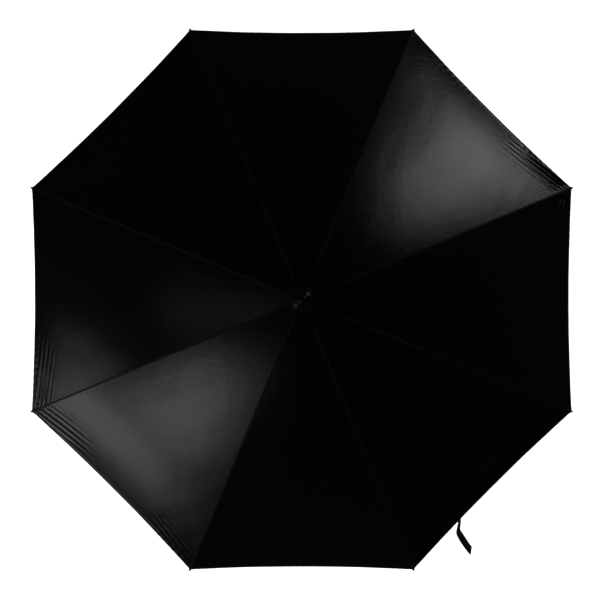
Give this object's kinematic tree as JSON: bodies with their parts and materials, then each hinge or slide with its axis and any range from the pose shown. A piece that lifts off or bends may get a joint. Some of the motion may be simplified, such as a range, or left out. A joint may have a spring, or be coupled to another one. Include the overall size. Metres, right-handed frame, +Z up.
{
  "type": "golf umbrella",
  "caption": "Large open straight-handled umbrella: sewn cloth canopy on hinged sprung ribs and stretchers, runner on a tubular shaft, foam grip.",
  "frame": {"origin": "centre of the grip's lower edge, on the shaft's axis", "axes": "+Z up the shaft towards the ferrule; the ribs stand at 22.5 degrees from +X and every 45 degrees on"},
  "size_m": [1.2342, 1.2342, 1.025],
  "materials": {
    "canopy_fabric": "satin pongee, fine plain weave",
    "strap_webbing": "folded pongee strap, stitched edges",
    "shaft_paint": "black powder coat, satin",
    "rib_steel": "black electrophoretic coat, satin",
    "fibreglass": "black resin, semi-gloss",
    "black_plastic": "moulded nylon, fine texture",
    "joint_plastic": "moulded nylon, satin",
    "cap_plastic": "moulded plastic, gloss",
    "tip_plastic": "moulded plastic, satin",
    "spring_steel": "bright spring steel",
    "grip_foam": "EVA foam, matte"
  },
  "bodies": {
    "root": {"shaft": "shaft_paint", "crown": "black_plastic", "crown_wire": "spring_steel", "top_cap": "cap_plastic", "ferrule": "cap_plastic", "handle_grip": "grip_foam", "grip_end_cap": "black_plastic"},
    "runner": {"runner": "black_plastic", "runner_wire": "spring_steel"},
    "upper_catch": {"upper_catch": "spring_steel"},
    "lower_catch": {"lower_catch": "spring_steel"},
    "rib_1": {"rib_inner_1": "rib_steel", "connector_1": "joint_plastic", "gore_1": "canopy_fabric"},
    "rib_end_1": {"rib_outer_1": "fibreglass", "tip_1": "tip_plastic"},
    "stretcher_1": {"stretcher_1": "rib_steel"},
    "rib_2": {"rib_inner_2": "rib_steel", "connector_2": "joint_plastic", "gore_2": "canopy_fabric"},
    "rib_end_2": {"rib_outer_2": "fibreglass", "tip_2": "tip_plastic"},
    "stretcher_2": {"stretcher_2": "rib_steel"},
    "rib_3": {"rib_inner_3": "rib_steel", "connector_3": "joint_plastic", "gore_3": "canopy_fabric"},
    "rib_end_3": {"rib_outer_3": "fibreglass", "tip_3": "tip_plastic"},
    "stretcher_3": {"stretcher_3": "rib_steel"},
    "rib_4": {"rib_inner_4": "rib_steel", "connector_4": "joint_plastic", "gore_4": "canopy_fabric"},
    "rib_end_4": {"rib_outer_4": "fibreglass", "tip_4": "tip_plastic"},
    "stretcher_4": {"stretcher_4": "rib_steel"},
    "rib_5": {"rib_inner_5": "rib_steel", "connector_5": "joint_plastic", "gore_5": "canopy_fabric"},
    "rib_end_5": {"rib_outer_5": "fibreglass", "tip_5": "tip_plastic"},
    "stretcher_5": {"stretcher_5": "rib_steel"},
    "rib_6": {"rib_inner_6": "rib_steel", "connector_6": "joint_plastic", "gore_6": "canopy_fabric"},
    "rib_end_6": {"rib_outer_6": "fibreglass", "tip_6": "tip_plastic"},
    "stretcher_6": {"stretcher_6": "rib_steel"},
    "rib_7": {"rib_inner_7": "rib_steel", "connector_7": "joint_plastic", "gore_7": "canopy_fabric"},
    "rib_end_7": {"rib_outer_7": "fibreglass", "tip_7": "tip_plastic", "closing_strap": "strap_webbing"},
    "stretcher_7": {"stretcher_7": "rib_steel"},
    "rib_8": {"rib_inner_8": "rib_steel", "connector_8": "joint_plastic", "gore_8": "canopy_fabric"},
    "rib_end_8": {"rib_outer_8": "fibreglass", "tip_8": "tip_plastic"},
    "stretcher_8": {"stretcher_8": "rib_steel"}
  },
  "joints": [
    {"name": "fold", "type": "hinge", "parent": "root", "child": "rib_1", "pos_m": [0.01109, 0.00459, 0.935], "axis": [-0.3827, 0.9239, 0], "range_deg": [0, 69], "deforming": ["gore_1", "gore_2", "gore_3", "gore_4", "gore_5", "gore_6", "gore_7", "gore_8", "closing_strap", "upper_catch", "lower_catch"]},
    {"name": "rib_2_fold", "type": "hinge", "parent": "root", "child": "rib_2", "pos_m": [0.00459, 0.01109, 0.935], "axis": [-0.9239, 0.3827, 0], "range_deg": [0, 69]},
    {"name": "rib_3_fold", "type": "hinge", "parent": "root", "child": "rib_3", "pos_m": [-0.00459, 0.01109, 0.935], "axis": [-0.9239, -0.3827, 0], "range_deg": [0, 69]},
    {"name": "rib_4_fold", "type": "hinge", "parent": "root", "child": "rib_4", "pos_m": [-0.01109, 0.00459, 0.935], "axis": [-0.3827, -0.9239, 0], "range_deg": [0, 69]},
    {"name": "rib_5_fold", "type": "hinge", "parent": "root", "child": "rib_5", "pos_m": [-0.01109, -0.00459, 0.935], "axis": [0.3827, -0.9239, 0], "range_deg": [0, 69]},
    {"name": "rib_6_fold", "type": "hinge", "parent": "root", "child": "rib_6", "pos_m": [-0.00459, -0.01109, 0.935], "axis": [0.9239, -0.3827, 0], "range_deg": [0, 69]},
    {"name": "rib_7_fold", "type": "hinge", "parent": "root", "child": "rib_7", "pos_m": [0.00459, -0.01109, 0.935], "axis": [0.9239, 0.3827, 0], "range_deg": [0, 69]},
    {"name": "rib_8_fold", "type": "hinge", "parent": "root", "child": "rib_8", "pos_m": [0.01109, -0.00459, 0.935], "axis": [0.3827, 0.9239, 0], "range_deg": [0, 69]},
    {"name": "stretcher_1_turn", "type": "hinge", "parent": "rib_1", "child": "stretcher_1", "pos_m": [0.3147, 0.13035, 0.82128], "axis": [-0.3827, 0.9239, 0], "range_deg": [-138, 0]},
    {"name": "rib_1_flex", "type": "hinge", "parent": "rib_1", "child": "rib_end_1", "pos_m": [0.32782, 0.13579, 0.82325], "axis": [-0.3827, 0.9239, 0], "range_deg": [-15.01, 0]},
    {"name": "stretcher_2_turn", "type": "hinge", "parent": "rib_2", "child": "stretcher_2", "pos_m": [0.13035, 0.3147, 0.82128], "axis": [-0.9239, 0.3827, 0], "range_deg": [-138, 0]},
    {"name": "rib_2_flex", "type": "hinge", "parent": "rib_2", "child": "rib_end_2", "pos_m": [0.13579, 0.32782, 0.82325], "axis": [-0.9239, 0.3827, 0], "range_deg": [-15.01, 0]},
    {"name": "stretcher_3_turn", "type": "hinge", "parent": "rib_3", "child": "stretcher_3", "pos_m": [-0.13035, 0.3147, 0.82128], "axis": [-0.9239, -0.3827, 0], "range_deg": [-138, 0]},
    {"name": "rib_3_flex", "type": "hinge", "parent": "rib_3", "child": "rib_end_3", "pos_m": [-0.13579, 0.32782, 0.82325], "axis": [-0.9239, -0.3827, 0], "range_deg": [-15.01, 0]},
    {"name": "stretcher_4_turn", "type": "hinge", "parent": "rib_4", "child": "stretcher_4", "pos_m": [-0.3147, 0.13035, 0.82128], "axis": [-0.3827, -0.9239, 0], "range_deg": [-138, 0]},
    {"name": "rib_4_flex", "type": "hinge", "parent": "rib_4", "child": "rib_end_4", "pos_m": [-0.32782, 0.13579, 0.82325], "axis": [-0.3827, -0.9239, 0], "range_deg": [-15.01, 0]},
    {"name": "stretcher_5_turn", "type": "hinge", "parent": "rib_5", "child": "stretcher_5", "pos_m": [-0.3147, -0.13035, 0.82128], "axis": [0.3827, -0.9239, 0], "range_deg": [-138, 0]},
    {"name": "rib_5_flex", "type": "hinge", "parent": "rib_5", "child": "rib_end_5", "pos_m": [-0.32782, -0.13579, 0.82325], "axis": [0.3827, -0.9239, 0], "range_deg": [-15.01, 0]},
    {"name": "stretcher_6_turn", "type": "hinge", "parent": "rib_6", "child": "stretcher_6", "pos_m": [-0.13035, -0.3147, 0.82128], "axis": [0.9239, -0.3827, 0], "range_deg": [-138, 0]},
    {"name": "rib_6_flex", "type": "hinge", "parent": "rib_6", "child": "rib_end_6", "pos_m": [-0.13579, -0.32782, 0.82325], "axis": [0.9239, -0.3827, 0], "range_deg": [-15.01, 0]},
    {"name": "stretcher_7_turn", "type": "hinge", "parent": "rib_7", "child": "stretcher_7", "pos_m": [0.13035, -0.3147, 0.82128], "axis": [0.9239, 0.3827, 0], "range_deg": [-138, 0]},
    {"name": "rib_7_flex", "type": "hinge", "parent": "rib_7", "child": "rib_end_7", "pos_m": [0.13579, -0.32782, 0.82325], "axis": [0.9239, 0.3827, 0], "range_deg": [-15.01, 0]},
    {"name": "stretcher_8_turn", "type": "hinge", "parent": "rib_8", "child": "stretcher_8", "pos_m": [0.3147, -0.13035, 0.82128], "axis": [0.3827, 0.9239, 0], "range_deg": [-138, 0]},
    {"name": "rib_8_flex", "type": "hinge", "parent": "rib_8", "child": "rib_end_8", "pos_m": [0.32782, -0.13579, 0.82325], "axis": [0.3827, 0.9239, 0], "range_deg": [-15.01, 0]},
    {"name": "runner_travel", "type": "hinge", "parent": "stretcher_1", "child": "runner", "pos_m": [0.01109, 0.00459, 0.70756], "axis": [-0.3827, 0.9239, 0], "range_deg": [0, 69]},
    {"name": "upper_catch_press", "type": "hinge", "parent": "root", "child": "upper_catch", "pos_m": [0, 0, 0.61626], "axis": [0, -1, 0], "range_deg": [0, 7], "stiffness_Nm_per_rad": 1, "springref_deg": -5.73},
    {"name": "lower_catch_press", "type": "hinge", "parent": "root", "child": "lower_catch", "pos_m": [0, 0, 0.17638], "axis": [0, -1, 0], "range_deg": [0, 7], "stiffness_Nm_per_rad": 1, "springref_deg": -5.73}
  ],
  "couplings": [
    {"joint": "rib_2_fold", "follows": "fold", "ratio": 1},
    {"joint": "rib_3_fold", "follows": "fold", "ratio": 1},
    {"joint": "rib_4_fold", "follows": "fold", "ratio": 1},
    {"joint": "rib_5_fold", "follows": "fold", "ratio": 1},
    {"joint": "rib_6_fold", "follows": "fold", "ratio": 1},
    {"joint": "rib_7_fold", "follows": "fold", "ratio": 1},
    {"joint": "rib_8_fold", "follows": "fold", "ratio": 1},
    {"joint": "stretcher_1_turn", "follows": "fold", "ratio": -2},
    {"joint": "rib_1_flex", "follows": "fold", "ratio": -0.21739},
    {"joint": "stretcher_2_turn", "follows": "fold", "ratio": -2},
    {"joint": "rib_2_flex", "follows": "fold", "ratio": -0.21739},
    {"joint": "stretcher_3_turn", "follows": "fold", "ratio": -2},
    {"joint": "rib_3_flex", "follows": "fold", "ratio": -0.21739},
    {"joint": "stretcher_4_turn", "follows": "fold", "ratio": -2},
    {"joint": "rib_4_flex", "follows": "fold", "ratio": -0.21739},
    {"joint": "stretcher_5_turn", "follows": "fold", "ratio": -2},
    {"joint": "rib_5_flex", "follows": "fold", "ratio": -0.21739},
    {"joint": "stretcher_6_turn", "follows": "fold", "ratio": -2},
    {"joint": "rib_6_flex", "follows": "fold", "ratio": -0.21739},
    {"joint": "stretcher_7_turn", "follows": "fold", "ratio": -2},
    {"joint": "rib_7_flex", "follows": "fold", "ratio": -0.21739},
    {"joint": "stretcher_8_turn", "follows": "fold", "ratio": -2},
    {"joint": "rib_8_flex", "follows": "fold", "ratio": -0.21739},
    {"joint": "runner_travel", "follows": "fold", "ratio": 1}
  ]
}
